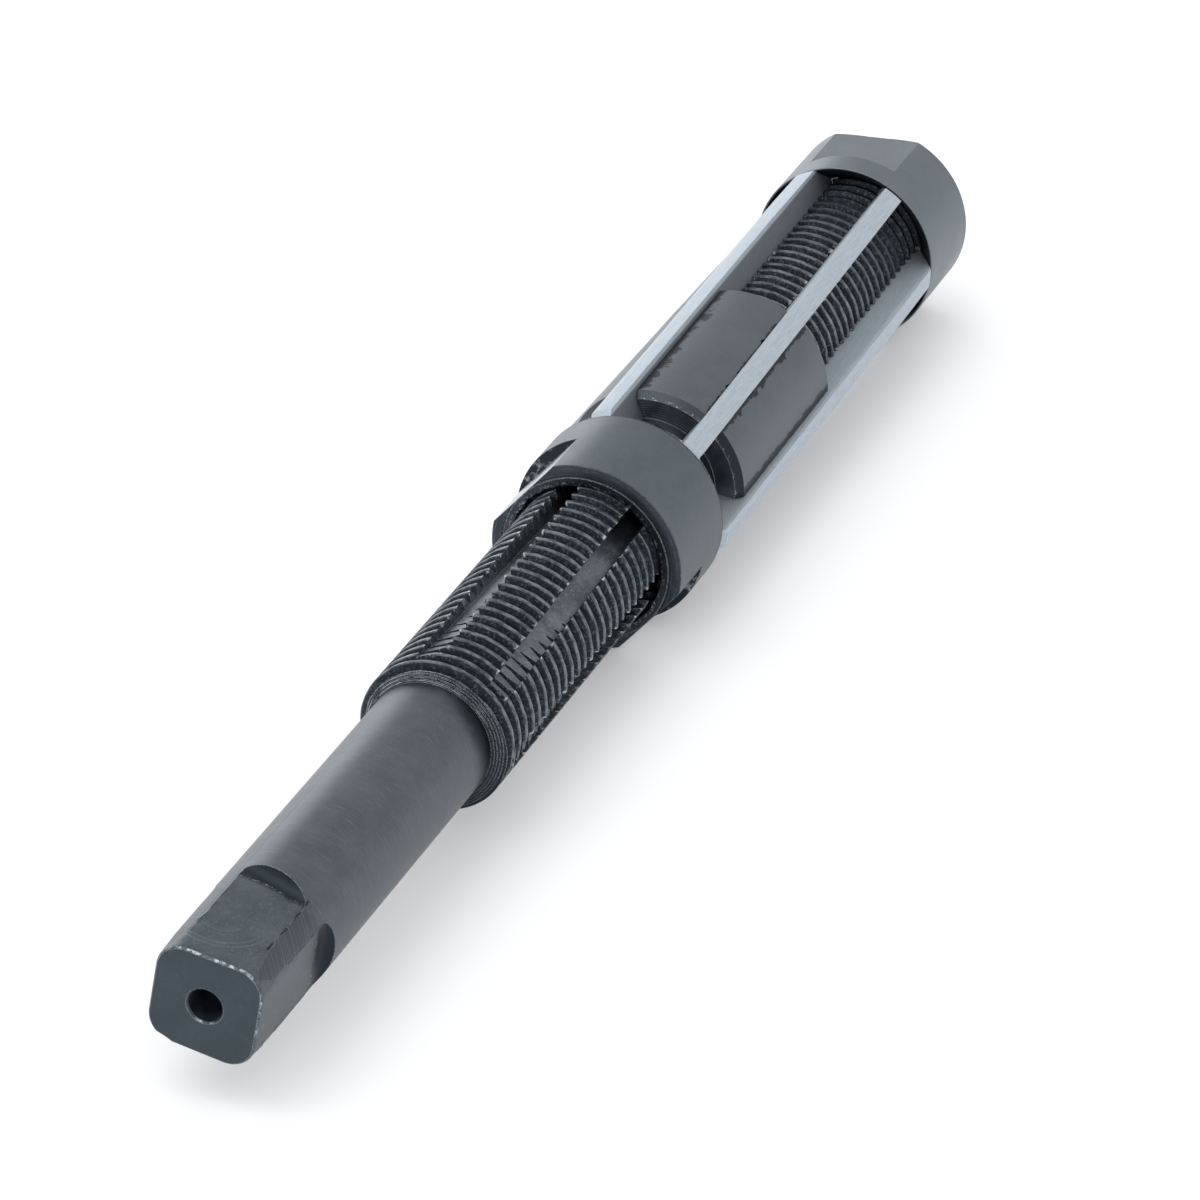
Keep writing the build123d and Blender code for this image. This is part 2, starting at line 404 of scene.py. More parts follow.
def stripeMarks(tree, place, colour, finish):
    # between the flats the round is darker with slanting file strokes, and painted shade lies before the shoulder,
    # from about 50° to 80° round from straight up
    along, radius, angle = roundTheAxis(tree, place)
    onStripe = ramp(tree, along, *[driveSquare["length"] + fade for fade in shankMarks["stripeFade"]])
    colour = blendColour(tree, times(tree, onStripe, shankMarks["stripeShare"]), colour, shankMarks["stripe"])
    alongSlant, roundSlant = shankMarks["fileSlant"]
    slanting = plus(tree, times(tree, along, alongSlant), times(tree, angle, roundSlant))
    strokes = ramp(tree, waves(tree, slanting, *shankMarks["fileStroke"]), *shankMarks["fileLine"])
    colour = blendColour(tree, times(tree, strokes, onStripe), colour, finish["worn"])
    # painted shade on the shank before the shoulder
    wanders = plus(tree, along, wandering(tree, place, *shankMarks["shadeBeforeShoulderWander"]))
    shadeBeforeShoulder = times(tree, ramp(tree, wanders, *shankMarks["shadeBeforeShoulderAlong"]),
                  *[rampRound(tree, angle, *span) for span in shankMarks["shadeBeforeShoulderRound"]])
    colour = blendColour(tree, shadeBeforeShoulder, colour, shankMarks["shadeBeforeShoulder"])
    return wornRim(tree, place, raggedBorder(tree, place, colour, finish), finish)


milledFinish = {
    **shankFinish, "dark": (0.070, 0.085, 0.097), "light": (0.112, 0.132, 0.148), "scratch": 0.16,
    "strokes": (2.4, 3.4, 3.4), "edge": 0.14,
    "arcCentre": (6.0, 0.9, 4.7), "arc": (3.6, 2.0), "arcLine": (0.50, 0.70, 0.0, 0.13), "arcsTo": (6.0, 3.5),
    "arcReach": (5.2, 4.2),
    # the hollow's dark colour is painted shade
    "hollowShade": (0.024, 0.031, 0.037), "scoopFrom": 10.90, "scoopWobble": ((1.1, 3.0), 0.9),
    "scoopSlant": (5, 40, 0.0, 0.8), "scoopEdge": (-0.15, 0.45),
    "burr": (0.30, 0.34, 0.375), "burrAt": 0.35, "burrLine": (0.09, 0.03), "burrGaps": ((2.6, 3.0), 0.54, 0.62)}


def milledMarks(tree, place, colour, finish):
    # faint sweeps of the cutter, and painted shade over the cutter's hollow with a bright burr at its foot
    along, radius, angle = roundTheAxis(tree, place)
    offset = tree.nodes.new("ShaderNodeVectorMath")
    offset.operation = "DISTANCE"
    offset.inputs[1].default_value = finish["arcCentre"]
    tree.links.new(place, offset.inputs[0])
    distance = offset.outputs["Value"]
    sweeps = times(tree, ramp(tree, waves(tree, distance, *finish["arc"]), *finish["arcLine"]),
                   ramp(tree, along, *finish["arcsTo"]), ramp(tree, distance, *finish["arcReach"]))
    colour = raggedBorder(tree, place, blendColour(tree, sweeps, colour, finish["worn"]), finish)
    colour = wornRim(tree, place, colour, finish)
    grain, reach = finish["scoopWobble"]
    foot = plus(tree, times(tree, speckle(tree, place, *grain), reach), finish["scoopFrom"])
    foot = minus(tree, foot, rampRound(tree, angle, *finish["scoopSlant"]))
    past = minus(tree, along, foot)
    # painted shade over the hollow past its foot
    colour = blendColour(tree, ramp(tree, past, *finish["scoopEdge"]), colour, finish["hollowShade"])
    burr = times(tree, ramp(tree, absolute(tree, minus(tree, past, finish["burrAt"])), *finish["burrLine"]),
                 patches(tree, place, *finish["burrGaps"]))
    return blendColour(tree, burr, colour, finish["burr"])


nutFinish = {
    **shankFinish, "dark": (0.091, 0.109, 0.122), "light": (0.116, 0.136, 0.150), "scratch": 0.05,
    "strokes": (5.0, 0.8, 0.8), "edge": 0.08, "grainDepth": 0.003,
    "rimRagged": ((1.6, 3.0), 0.16), "rimAt": 0.05, "rimLine": (0.20, 0.10), "rimShade": 0.25,
    "rimChips": ((2.8, 3.0, 0.6), 0.62, 0.68)}
# the far nut is the same oxide as the near one in lighter colours: painted light
farNutPaintedLight = {**nutFinish, "dark": (0.130, 0.152, 0.168), "light": (0.156, 0.181, 0.199)}
# the near nut's flat is given a pale colour: a painted reflection of the light it catches at a grazing turn
nutFlatPaintedReflection = {
    **nutFinish, "dark": (0.36, 0.395, 0.425), "light": (0.50, 0.54, 0.57), "scratch": 0.10,
    "strokes": (2.0, 3.0, 3.0), "wall": (0.030, 0.037, 0.043), "wallFacing": (0.80, 0.95),
    "wallMottle": ((1.2, 4.0, 0.7), 0.74, 0.52)}
# the far nut's flat and its wall are given lighter colours: painted light
farNutFlatPaintedLight = {
    **nutFlatPaintedReflection, "dark": (0.156, 0.178, 0.194), "light": (0.190, 0.216, 0.235), "wall": (0.10, 0.12, 0.13)}


def rimMarks(tree, place, colour, finish):
    # a thin dark line with chips along the nut's edge on the blades' side
    grain, reach = finish["rimRagged"]
    ragged = plus(tree, components(tree, place)[0], times(tree, speckle(tree, place, *grain), reach))
    line = ramp(tree, minus(tree, upperRim + finish["rimAt"], ragged), *finish["rimLine"])
    colour = blendColour(tree, line, colour, shaded(finish["dark"], finish["rimShade"]))
    return blendColour(tree, times(tree, line, patches(tree, place, *finish["rimChips"])), colour, finish["worn"])


def flatMarks(tree, place, colour, finish):
    # the wall at the end of a nut's flat stays dark and mottled
    wall = times(tree, ramp(tree, facingEnds(tree), *finish["wallFacing"]),
                 patches(tree, place, *finish["wallMottle"]))
    return blendColour(tree, wall, colour, finish["wall"])


threadFinish = {
    "valley": (0.021, 0.026, 0.031), "dash": (0.072, 0.086, 0.097), "dashStretch": (1.0, 3.6, 3.6),
    "dashPatches": (0.50, 0.66), "dashDepth": 0.02, "grain": (8.0, 3.0), "grainDepth": 0.012,
    "crestDark": (0.060, 0.070, 0.080), "crest": (0.185, 0.212, 0.235), "crestStretch": (3.0, 1.1, 1.1),
    # crests, their wear and burrs fade out towards the lower nut as painted shade
    "crestPatches": (0.38, 0.62), "crestRadius": 6.95, "crestWidth": 0.10, "crestShadeByNut": (150.0, 142.0),
    "wearShadeByNut": (150.0, 132.0), "rootRadius": 6.21, "roughness": (0.62, 0.42),
    "burr": (0.50, 0.55, 0.58), "burrWidth": (0.42, 0.05), "burrGaps": ((2.1, 3.0), 0.52, 0.60),
    "burrRadius": (6.6, 6.9), "burrFrom": (0.5, 2.0), "coarse": (1.0, 4.0, 0.7)}


def threadSteel(name, finish):
    # pale crests over nearly black flanks with short bright dashes along the axis, burrs at the slots, and painted
    # shade that dims crests and burrs towards the lower nut
    material, tree, shader = nodeTree(name)
    place = coordinates(tree)
    along, radius, angle = roundTheAxis(tree, place)
    dashes = speckle(tree, coordinates(tree, finish["dashStretch"]), *finish["coarse"])
    colour = blendColour(tree, ramp(tree, dashes, *finish["dashPatches"]), finish["valley"], finish["dash"])
    # painted shade towards the lower nut: the crests' wear and the burrs fade out
    pale = ramp(tree, along, *finish["wearShadeByNut"])
    stretched = coordinates(tree, finish["crestStretch"])
    worn = times(tree, patches(tree, stretched, finish["coarse"], *finish["crestPatches"]), pale)
    crest = blendColour(tree, worn, finish["crestDark"], finish["crest"])
    top = finish["crestRadius"]
    # painted shade: near the lower nut the crests turn dark
    onCrest = times(tree, ramp(tree, radius, top - finish["crestWidth"], top),
                    ramp(tree, along, *finish["crestShadeByNut"]))
    colour = blendColour(tree, onCrest, colour, crest)
    burrs = times(tree, ramp(tree, besideSlot(tree, along, radius, angle), *finish["burrWidth"]),
                  patches(tree, place, *finish["burrGaps"]), ramp(tree, radius, *finish["burrRadius"]),
                  ramp(tree, along, *[slots["start"] + past for past in finish["burrFrom"]]), pale)
    colour = blendColour(tree, burrs, colour, finish["burr"])
    height = ramp(tree, radius, finish["rootRadius"], top)
    deep = bump(tree, dashes, finish["dashDepth"])
    normal = bump(tree, speckle(tree, place, *finish["grain"]), finish["grainDepth"], deep)
    finishMetal(tree, shader, colour, ramp(tree, height, 0.0, 1.0, *finish["roughness"]), normal)
    return material


bladeFinish = {
    "dark": (0.42, 0.465, 0.51), "light": (0.54, 0.585, 0.63), "side": (0.430, 0.475, 0.515),
    # the back colour is painted shade for the sides that face on round the axis
    "back": (0.215, 0.240, 0.262), "shadedSideTurn": (0.0, -0.5), "landRadius": 9.2, "landEdge": 0.25,
    "streakStretch": (0.5, 5.0, 5.0), "streak": (1.0, 3.0), "streakShare": 0.35, "grain": (7.0, 4.0, 0.7),
    "tone": (0.36, 0.62), "sideShade": 0.15, "roughGrain": (0.3, 0.7), "roughness": (0.58, 0.70),
    "grainDepth": 0.004, "grainStrength": 0.8, "edge": 0.05}


def groundSteel(name, finish):
    # a pale, finely grained land and greyer sides, with painted shade on the side that faces on round the axis
    material, tree, shader = nodeTree(name)
    place = coordinates(tree)
    along, radius, angle = roundTheAxis(tree, place)
    streaks = speckle(tree, coordinates(tree, finish["streakStretch"]), *finish["streak"])
    grain = speckle(tree, place, *finish["grain"])
    tone = mixture(tree, streaks, grain, finish["streakShare"])
    pale = blendColour(tree, ramp(tree, tone, *finish["tone"]), finish["dark"], finish["light"])
    onLand = ramp(tree, radius, finish["landRadius"] - finish["landEdge"], finish["landRadius"])
    # painted shade: sides that face on round the axis turn to the back colour
    normal = components(tree, tree.nodes.new("ShaderNodeTexCoord").outputs["Normal"])
    against = plus(tree, times(tree, normal[1], arithmetic(tree, "COSINE", angle)),
                   times(tree, normal[2], arithmetic(tree, "SINE", angle)))
    side = blendColour(tree, ramp(tree, against, *finish["shadedSideTurn"]), finish["side"], finish["back"])
    shade = ramp(tree, tone, *finish["tone"][::-1], 0.0, finish["sideShade"])
    side = blendColour(tree, shade, side, (0.0, 0.0, 0.0))
    edge, rounded = wornEdge(tree, finish["edge"])
    finishMetal(tree, shader, blendColour(tree, onLand, side, pale),
                ramp(tree, grain, *finish["roughGrain"], *finish["roughness"]),
                bump(tree, grain, finish["grainDepth"], rounded, finish["grainStrength"]))
    return material


# Building blocks of the meshes

touching = 0.0005                          # corners nearer than this, in millimetres, are one
creaseAngle = 28.0                         # edges that turn further than this, in degrees, stay sharp


def finishMesh(name, sheet, metals):
    bmesh.ops.remove_doubles(sheet, verts=sheet.verts, dist=touching)
    bmesh.ops.recalc_face_normals(sheet, faces=sheet.faces)
    mesh = bpy.data.meshes.new(name)
    sheet.to_mesh(mesh)
    sheet.free()
    piece = bpy.data.objects.new(name, mesh)
    bpy.context.scene.collection.objects.link(piece)
    for metal in metals:
        mesh.materials.append(metal)
    return piece


def turned(name, outline, segments, metals, metalAt):
    # an outline of (station, radius) points spun about the axis, each ring of faces with its own metal
    sheet = bmesh.new()
    corners = [sheet.verts.new((x, 0, r)) for x, r in outline]
    onward = corners[1:] if outline[0][1] == 0 else corners[1:] + corners[:1]     # open where it meets the axis
    edges = [sheet.edges.new(pair) for pair in zip(corners, onward)]
    bmesh.ops.spin(sheet, geom=corners + edges, cent=(0, 0, 0), axis=(1, 0, 0), angle=math.tau,
                   steps=segments, use_merge=True)
    bmesh.ops.remove_doubles(sheet, verts=sheet.verts, dist=touching)
    bmesh.ops.dissolve_degenerate(sheet, dist=touching, edges=sheet.edges)
    names = list(metals)
    for face in sheet.faces:
        middle = face.calc_center_median()
        face.material_index = names.index(metalAt(middle.x, math.hypot(middle.y, middle.z), abs(face.normal.x)))
    return finishMesh(name, sheet, metals.values())


def subtract(piece, cutters):
    for cutter in cutters:
        step = piece.modifiers.new(cutter.name, "BOOLEAN")
        step.operation = "DIFFERENCE"
        step.object = cutter
        step.solver = "MANIFOLD"
        step.material_mode = "TRANSFER"
    bpy.context.view_layer.update()
    cut = bpy.data.meshes.new_from_object(piece.evaluated_get(bpy.context.evaluated_depsgraph_get()))
    piece.modifiers.clear()
    piece.data = cut
    for cutter in cutters:
        bpy.data.objects.remove(cutter)


def settle(piece):
    # drops the flat slivers that cutters leave, shades smoothly between creases, and puts the piece in place
    sheet = bmesh.new()
    sheet.from_mesh(piece.data)
    slivers = [face for face in sheet.faces if len({f for edge in face.edges for f in edge.link_faces}) == 2]
    bmesh.ops.delete(sheet, geom=slivers, context="FACES")
    bmesh.ops.dissolve_degenerate(sheet, dist=touching, edges=sheet.edges)
    for face in sheet.faces:
        face.smooth = True
    for edge in sheet.edges:
        edge.smooth = edge.is_manifold and edge.calc_face_angle(math.pi) < math.radians(creaseAngle)
    sheet.to_mesh(piece.data)
    sheet.free()
    piece.data.transform(intoFrame)


def shareOf(value, low, high):
    # 0 up to low, 1 from high on
    return min(max((value - low) / (high - low), 0), 1)


# The body: shank, square, threads, land, slots

shank = {
    "radius": 5.65, "to": 45.4, "segments": 192,
    "ringCount": 4, "ring": ((-0.05, -0.02), (0, 0.05), (0.03, -0.03))}      # on the shoulder: (onward, out)
driveHole = {"radius": 1.5, "depth": 7.0, "edge": 0.15, "tip": 0.9}
pilotHole = {"radius": 0.7, "depth": 2.5, "mouth": 1.4, "sink": 1.212, "tip": 0.42}
thread = {
    "radius": 7.0, "pitch": 1.5, "root": 6.21, "crestWidth": 0.29, "rootWidth": 0.22, "over": 0.5,
    "wobble": 0.11, "wobblePerMm": 0.9, "shoulder": 0.6, "chamfer": 0.8, "stepsPerTurn": 120,
    "upper": {"start": 44.654, "turns": 35, "phase": -60.0}, "lower": {"start": 121.75, "turns": 28, "phase": 0.0}}
land = {
    "from": 98.4, "to": 121.0, "radius": 8.75, "bevelLength": 0.8, "bevelDepth": 0.6, "neckRadius": 6.2,
    "neckLength": 1.6}
slots = {
    "count": 6, "first": 37.8, "halfWidth": 1.03, "skew": 1.1, "slope": 1.9, "endFloor": 2.65, "start": 47.0,
    "past": 2.0, "top": 12.0, "cutterRadius": 25.0, "step": 0.30,
    # the walls are torn from tearFrom under the surface, fully from tearMost, and up to tearTo over it
    "tear": 0.30, "tearPerMm": 1.3, "tearFrom": 0.45, "tearMost": 0.12, "tearTo": 0.25}
driveSquare = {
    "flats": 9.4, "length": 11.5, "hollow": 1.5, "turn": 10.3, "footSlant": 14.0, "slantFrom": 4.0,
    "corner": 2.4, "cornerTurn": 48, "roundTo": (0.8, 6.0), "rim": 0.22, "rimDepth": 0.15,
    "ragged": 0.10, "raggedFrom": 0.9, "raggedPerMm": (1.6, 0.8), "cutterSize": (13, 12),
    "nick": {"flat": 2, "to": 0.5, "across": -2.95, "width": 0.8, "depth": 0.22}}


def slotFloor(x):
    return slots["endFloor"] + (bodyLength - x) * math.tan(math.radians(slots["slope"]))


def surfaceRadius(x):
    return land["radius"] if land["from"] - land["bevelLength"] < x < land["to"] else thread["radius"]


def bodyBlank(metals):
    shoulderTo = shank["to"] + thread["shoulder"]
    bevelFrom = land["from"] - land["bevelLength"]
    upperNeck, lowerNeck = bevelFrom - land["neckLength"], land["to"] + land["neckLength"]
    sinkFoot = bodyLength - pilotHole["sink"]
    drilled = sinkFoot - pilotHole["depth"]
    outline = [
        (driveHole["depth"] + driveHole["tip"], 0), (driveHole["depth"], driveHole["radius"]),
        (driveHole["edge"], driveHole["radius"]), (0, driveHole["radius"] + driveHole["edge"]),
        (0, shank["radius"]), (shank["to"], shank["radius"])]
    for i in range(shank["ringCount"]):
        share = (i + 1) / (shank["ringCount"] + 1.5)
        x = shank["to"] + thread["shoulder"] * share
        r = shank["radius"] + (thread["radius"] - shank["radius"]) * share
        outline += [(x + onward, r + out) for onward, out in shank["ring"]]
    outline += [
        (shoulderTo, thread["radius"]), (upperNeck, thread["radius"]), (upperNeck, land["neckRadius"]),
        (bevelFrom, land["neckRadius"]), (bevelFrom, land["radius"] - land["bevelDepth"]),
        (land["from"], land["radius"]), (land["to"], land["radius"]),
        (land["to"], land["neckRadius"]), (lowerNeck, land["neckRadius"]), (lowerNeck, thread["radius"]),
        (bodyLength - thread["chamfer"], thread["radius"]), (bodyLength, thread["radius"] - thread["chamfer"]),
        (bodyLength, pilotHole["mouth"]), (sinkFoot, pilotHole["radius"]),
        (drilled, pilotHole["radius"]), (drilled - pilotHole["tip"], 0)]

    def metalAt(x, r, facing):
        facesEnd, near = facing > 0.95, 0.1
        if shank["to"] - 0.01 < x < shoulderTo:
            return "shoulder"
        if r > thread["radius"] + near and not facesEnd:
            return "land"
        if facesEnd and bevelFrom - near < x < land["to"] + near:
            return "landFace"
        if x < driveHole["depth"] and r < driveHole["radius"] + 0.01:
            return "hole"
        if facesEnd or x < driveHole["edge"]:
            return "end"
        return "thread" if r > thread["radius"] - near else "shank"
    return turned("reamerBody", outline, shank["segments"], metals, metalAt)


def threadGroove(end, metal):
    # a groove's profile of (station, radius) points along a right-hand helix: one turn, repeated
    helix, pitch = thread[end], thread["pitch"]
    crestHalf, rootHalf = (pitch - thread["crestWidth"]) / 2, thread["rootWidth"] / 2
    outside = thread["radius"] + thread["over"]
    profile = [(-crestHalf, outside), (-crestHalf, thread["radius"]), (-rootHalf, thread["root"]),
               (rootHalf, thread["root"]), (crestHalf, thread["radius"]), (crestHalf, outside)]
    start = helix["start"] + pitch * helix["phase"] / 360
    sheet = bmesh.new()
    corners = [sheet.verts.new((x + start, 0, r)) for x, r in profile]
    edges = [sheet.edges.new(pair) for pair in zip(corners, corners[1:] + corners[:1])]
    bmesh.ops.rotate(sheet, verts=corners, cent=(0, 0, 0),
                     matrix=Matrix.Rotation(math.radians(helix["phase"]), 3, "X"))
    bmesh.ops.spin(sheet, geom=edges, cent=(0, 0, 0), axis=(1, 0, 0), angle=math.tau,
                   steps=thread["stepsPerTurn"], dvec=(pitch / thread["stepsPerTurn"], 0, 0))
    oneTurn = sheet.verts[:] + sheet.edges[:] + sheet.faces[:]
    for i in range(1, helix["turns"]):
        copy = bmesh.ops.duplicate(sheet, geom=oneTurn)
        bmesh.ops.translate(sheet, vec=(pitch * i, 0, 0),
                            verts=[v for v in copy["geom"] if isinstance(v, bmesh.types.BMVert)])
    bmesh.ops.remove_doubles(sheet, verts=sheet.verts, dist=touching)
    bmesh.ops.holes_fill(sheet, edges=[e for e in sheet.edges if e.is_boundary], sides=0)
    for vertex in sheet.verts:
        vertex.co.x += thread["wobble"] * noise.noise(vertex.co * thread["wobblePerMm"])
    return finishMesh(f"{end}Groove", sheet, [metal])


def slotCutter(index, metal):
    # a bar swept along the slot: its floor follows slope and cutter, its upper edges are torn
    slope, cutterRadius = math.radians(slots["slope"]), slots["cutterRadius"]
    start, end, side, top = slots["start"], bodyLength + slots["past"], slots["halfWidth"], slots["top"]
    rise = (thread["radius"] - slotFloor(start)) * math.cos(slope)
    along = math.sqrt(rise * (2 * cutterRadius - rise))
    foot = start + along * math.cos(slope) - rise * math.sin(slope)
    steps = round((end - start) / slots["step"])
    rows = 4
    sheet = bmesh.new()
    corners = [sheet.verts.new((start, y, z)) for y, z in ((-side, 0), (side, 0), (side, top), (-side, top))]
    sheet.faces.new(corners)
    upright = [e for e in sheet.edges if abs(e.verts[0].co.y - e.verts[1].co.y) < side]
    bmesh.ops.subdivide_edges(sheet, edges=upright, cuts=rows - 1)
    bmesh.ops.spin(sheet, geom=list(sheet.faces), cent=(0, 0, 0), axis=(1, 0, 0), angle=0, steps=steps,
                   dvec=((end - start) / steps, 0, 0))
    for vertex in sheet.verts:
        x, y, z = vertex.co
        if x < foot:
            centreHeight = slotFloor(foot) + cutterRadius * math.cos(slope)
            across = x - foot - cutterRadius * math.sin(slope)
            floor = centreHeight - math.sqrt(max(cutterRadius ** 2 - across ** 2, 0))
        else:
            floor = slotFloor(x)
        surface = surfaceRadius(x)
        levels = [floor, surface - slots["tearFrom"], surface - slots["tearMost"], surface + slots["tearTo"], top]
        row = round(rows * z / top)
        vertex.co.z = max(levels[row], floor + 0.02 * row)
        if row > 1:
            wall = index * 7.3 + (3.1 if y > 0 else 0)      # each wall has its own tears
            torn = noise.noise(Vector((x * slots["tearPerMm"], row * 0.7, wall)))
            vertex.co.y += math.copysign(max(torn, 0) * slots["tear"], y)
    place = (Matrix.Rotation(math.radians(slots["first"] + index * 360 / slots["count"]), 4, "X")
             @ Matrix.Translation((skewCentre, 0, 0)) @ Matrix.Rotation(math.radians(slots["skew"]), 4, "Z")
             @ Matrix.Translation((-skewCentre, 0, 0)))
    bmesh.ops.transform(sheet, matrix=place, verts=sheet.verts)
    return finishMesh(f"slotCutter{index}", sheet, [metal])


def squareOutline(x):
    # half the cutter's lower side at a station, from the middle out: (across, height) points
    flat, corner, length = driveSquare["flats"] / 2, driveSquare["corner"], driveSquare["length"]
    reach = corner - (1 - shareOf(x, 0, driveSquare["rim"])) ** 2 * driveSquare["rimDepth"]
    whole = shareOf(x, *driveSquare["roundTo"])
    into = shareOf(x, length, length + driveSquare["hollow"])
    rise = driveSquare["hollow"] * (1 - math.sqrt(1 - into ** 2))
    points = []
    for i in range(8):
        angle = math.radians(driveSquare["cornerTurn"] * i / 7)
        height = flat - corner + reach * math.cos(angle)
        points.append((flat - corner + reach * math.sin(angle), height + (flat - height) * whole + rise))
    return points


def squareCutter(index, metal):
    # a flat swept from the end: worn rim, round corners that fade out, and the cutter's hollow
    rim, hollow, length, nick = (driveSquare[k] for k in ("rim", "hollow", "length", "nick"))
    stops = [-1, 0, rim * 0.22, rim * 0.5, rim, 0.65] + [1 + 0.5 * i for i in range(21)]
    stops += [length + hollow * math.sin(math.radians(7.5 * i)) for i in range(13)]
    side, top = driveSquare["cutterSize"]
    alongRagged, acrossRagged = driveSquare["raggedPerMm"]
    sheet = bmesh.new()
    half = squareOutline(1)
    section = [(-y, z) for y, z in half[::-1]] + half + [(side, top), (-side, top)]
    corners = [sheet.verts.new((0, y, z)) for y, z in section]
    sheet.faces.new(corners)
    bmesh.ops.spin(sheet, geom=list(sheet.faces), cent=(0, 0, 0), axis=(1, 0, 0), angle=0, steps=len(stops) - 1,
                   dvec=(1, 0, 0))
    for vertex in sheet.verts:
        x, y, z = vertex.co
        x = stops[round(x)]
        if z < top - 1:
            column = min(range(len(half)), key=lambda i: abs(half[i][0] - abs(y)))
            across, z = squareOutline(x)[column]
            if x > driveSquare["raggedFrom"] and column > 1:
                z += driveSquare["ragged"] * noise.noise(Vector((x * alongRagged, index * 5.3, y * acrossRagged)))
            y = math.copysign(across, y)
            if index == nick["flat"] and x < nick["to"]:
                z -= nick["depth"] * max(0, 1 - ((y - nick["across"]) / nick["width"]) ** 2)
        if index == 0:                                       # the flat that faces up ends on a slant
            slant = math.tan(math.radians(driveSquare["footSlant"]))
            x += y * slant * shareOf(x, driveSquare["slantFrom"], length)
        vertex.co = (x, y, z)
    turn = Matrix.Rotation(math.radians(driveSquare["turn"] + 90 * index), 4, "X")
    bmesh.ops.transform(sheet, matrix=turn, verts=sheet.verts)
    return finishMesh(f"squareCutter{index}", sheet, [metal])


def reamerBody():
    metals = {
        "shank": oxideSteel("shank oxide", shankFinish, stripeMarks),
        "land": oxideSteel("land oxide", landFinish, landMarks),
        "end": oxideSteel("end face oxide", faceFinish, wornRim),
        "shoulder": oxideSteel("shoulder oxide", shoulderFinish, faceMarks),
        "thread": threadSteel("thread oxide", threadFinish),
        # painted light on the land's face
        "landFace": oxideSteel("land face, painted light", landFacePaintedLight, faceMarks),
        "hole": oxideSteel("hole oxide", holeFinish)}
    milledMetal = oxideSteel("milled oxide", milledFinish, milledMarks)
    slotMetal = oxideSteel("slot oxide", slotFinish)
    body = bodyBlank(metals)
    cutters = [threadGroove(end, metals["thread"]) for end in ("upper", "lower")]
    cutters += [slotCutter(i, slotMetal) for i in range(slots["count"])]
    cutters += [squareCutter(i, milledMetal) for i in range(4)]
    subtract(body, cutters)
    settle(body)
    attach(body, "body")
    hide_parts("body")
    print("body", len(body.data.polygons), "faces", [m.name for m in body.data.materials])


reamerBody()


# Nuts

nutShape = {
    "outer": 9.25, "mouth": 9.08, "bore": 7.05, "coneHalfAngle": 35.0, "mouthSink": 0.35, "flats": 16.2,
    "edge": 0.05, "chipping": 0.12, "chipsPerMm": 1.7, "segments": 256, "faceRound": 1.0, "faceRoundLength": 0.25,
    "roundStops": (0.0, 0.3, 0.55, 0.78, 0.95), "faceStep": ((0, 0.20), (0.06, 0.14), (0.06, 0.07)),
    "flatCutter": (30, 10)}
nutFlats = {"upper_nut": {"length": 6.1, "turn": -48.9}, "lower_nut": {"length": 7.7, "turn": -3.3}}


def nutPiece(node, faceStation, direction, metals, flatMetal):
    # turned from its outer face, where the thread's mouth is sunk, to its conical mouth, then given two flats
    outer, bore, edge, sink = (nutShape[k] for k in ("outer", "bore", "edge", "mouthSink"))
    throat = nutLength - (nutShape["mouth"] - bore) / math.tan(math.radians(nutShape["coneHalfAngle"]))
    width, length = nutShape["faceRound"], nutShape["faceRoundLength"]
    bend = (width ** 2 + length ** 2) / (2 * length)
    outline = [(sink, bore), (0, bore + sink)]
    outline += [(x, outer - width - inset) for x, inset in nutShape["faceStep"]]
    outline += [(bend - math.sqrt(bend ** 2 - (width * t) ** 2), outer - width + width * t)
                for t in nutShape["roundStops"]]
    outline += [(length + edge, outer), (nutLength - edge, outer), (nutLength, outer - edge),
                (nutLength, nutShape["mouth"]), (throat, bore)]

    def metalAt(x, r, facing):
        inward = direction * (x - faceStation)
        if inward < length + 0.03 and r > bore + 0.1:
            return "face"
        return "inside" if r < nutShape["mouth"] - 0.02 and inward > 0.01 else "side"
    nut = turned(node + "Turned", [(faceStation + direction * x, r) for x, r in outline], nutShape["segments"],
                 metals, metalAt)
    for vertex in nut.data.vertices:                          # chips round the thread's mouth
        x, y, z = vertex.co
        if abs(x - faceStation) < 0.01 and math.hypot(y, z) < bore + sink + 0.01:
            swell = 1 + nutShape["chipping"] * noise.noise(Vector((0, y, z)) * nutShape["chipsPerMm"]) / bore
            vertex.co.y *= swell
            vertex.co.z *= swell
    flat = nutFlats[node]
    wide, tall = nutShape["flatCutter"]
    cutters = []
    for turn in (0, 180):
        sheet = bmesh.new()
        bmesh.ops.create_cube(sheet, size=1)
        bmesh.ops.scale(sheet, vec=(2 * flat["length"], wide, tall), verts=sheet.verts)
        bmesh.ops.translate(sheet, vec=(faceStation, 0, (nutShape["flats"] + tall) / 2), verts=sheet.verts)
        bmesh.ops.rotate(sheet, cent=(0, 0, 0), verts=sheet.verts,
                         matrix=Matrix.Rotation(math.radians(flat["turn"] + turn), 3, "X"))
        cutters.append(finishMesh(f"{node}Flat{turn}", sheet, [flatMetal]))
    subtract(nut, cutters)
    settle(nut)
    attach(nut, node)
    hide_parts(node)
    print(node, len(nut.data.polygons), "faces")


nutMetals = {
    "side": oxideSteel("nut oxide", nutFinish, rimMarks),
    "face": oxideSteel("nut face oxide", nutFaceFinish, faceMarks),
    # painted light in the nut's mouth
    "inside": oxideSteel("nut mouth, painted light", nutInsidePaintedLight)}
# the near nut's flats carry a painted reflection
nutFlatMetal = oxideSteel("nut flat oxide", nutFlatPaintedReflection, flatMarks)
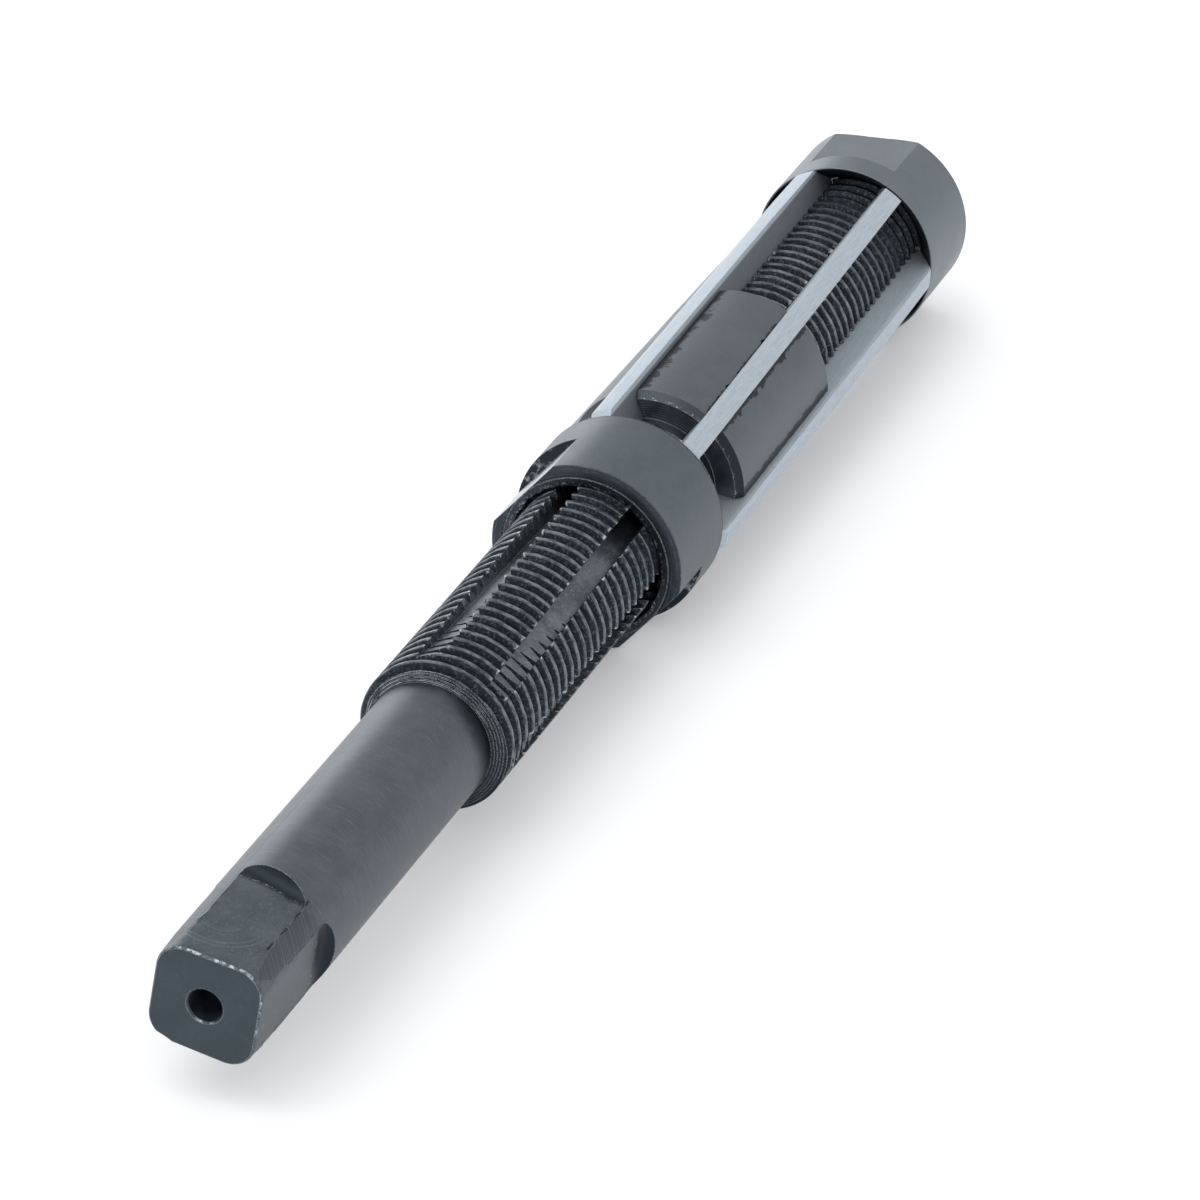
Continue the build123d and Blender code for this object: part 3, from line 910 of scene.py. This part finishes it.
# the far nut's side and flats are painted lighter
farNutMetals = {**nutMetals, "side": oxideSteel("far nut, painted light", farNutPaintedLight)}
farNutFlatMetal = oxideSteel("far nut flat, painted light", farNutFlatPaintedLight, flatMarks)
nutPiece("upper_nut", upperRim - nutLength, 1, nutMetals, nutFlatMetal)
nutPiece("lower_nut", lowerRim + nutLength, -1, farNutMetals, farNutFlatMetal)


# Blades keep their solids

bladeMetal = groundSteel("ground blade steel", bladeFinish)
for name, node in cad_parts.items():
    if name.startswith("blade_"):
        node.data.materials.clear()
        node.data.materials.append(bladeMetal)
print("blades finished")


# Stage: floor, light and camera

floorLook = {"size": 6.0, "colour": (0.80, 0.805, 0.81), "roughness": 0.9, "lift": 0.22}
worldLook = {"colour": (0.97, 0.985, 1.0), "strength": 1.0}
lamps = {
    "side": {"place": (0.75, 0.85, 0.22), "size": 0.9, "power": 2.6},
    "top": {"place": (-0.25, 0.35, 1.1), "size": 1.0, "power": 3.0}}
cameraView = {"place": (-0.44519, -0.18027, 0.26876), "bearing": 21.882, "drop": 28.775, "lens": 181.02,
              "clip": (0.01, 20.0)}


def aimed(name, data, place, ahead):
    # an object that looks ahead from its place
    holder = bpy.data.objects.new(name, data)
    holder.location = place
    holder.rotation_euler = ahead.to_track_quat("-Z", "Y").to_euler()
    bpy.context.scene.collection.objects.link(holder)
    return holder


def stageFloor():
    sheet = bmesh.new()
    bmesh.ops.create_grid(sheet, x_segments=1, y_segments=1, size=floorLook["size"] / 2)
    material, tree, shader = nodeTree("pale floor")
    path = tree.nodes.new("ShaderNodeLightPath").outputs
    seen = arithmetic(tree, "MAXIMUM", path["Is Camera Ray"], path["Is Glossy Ray"])
    seen = arithmetic(tree, "MAXIMUM", seen, path["Is Transmission Ray"])
    lift = times(tree, seen, floorLook["lift"])
    for socket, value in (("Base Color", floorLook["colour"]), ("Roughness", floorLook["roughness"]),
                          ("Emission Color", (1, 1, 1)), ("Emission Strength", lift)):
        fill(tree, shader.inputs[socket], value)
    finishMesh("floor", sheet, [material])


def studioLight():
    world = bpy.data.worlds.new("studio")
    bpy.context.scene.world = world
    world.use_nodes = True
    background = world.node_tree.nodes["Background"]
    fill(world.node_tree, background.inputs["Color"], worldLook["colour"])
    fill(world.node_tree, background.inputs["Strength"], worldLook["strength"])
    for name, lamp in lamps.items():
        light = bpy.data.lights.new(name, "AREA")
        light.shape = "DISK"
        light.size = lamp["size"]
        light.energy = lamp["power"]
        aimed(name, light, lamp["place"], -Vector(lamp["place"]))


def photoCamera():
    camera = bpy.data.cameras.new("camera")
    camera.lens = cameraView["lens"]
    camera.clip_start, camera.clip_end = cameraView["clip"]
    bearing, drop = math.radians(cameraView["bearing"]), math.radians(cameraView["drop"])
    ahead = Vector((math.cos(bearing) * math.cos(drop), math.sin(bearing) * math.cos(drop), -math.sin(drop)))
    bpy.context.scene.camera = aimed("camera", camera, cameraView["place"], ahead)


stageFloor()
studioLight()
photoCamera()
bpy.context.scene.view_settings.view_transform = "Standard"
print("stage set")
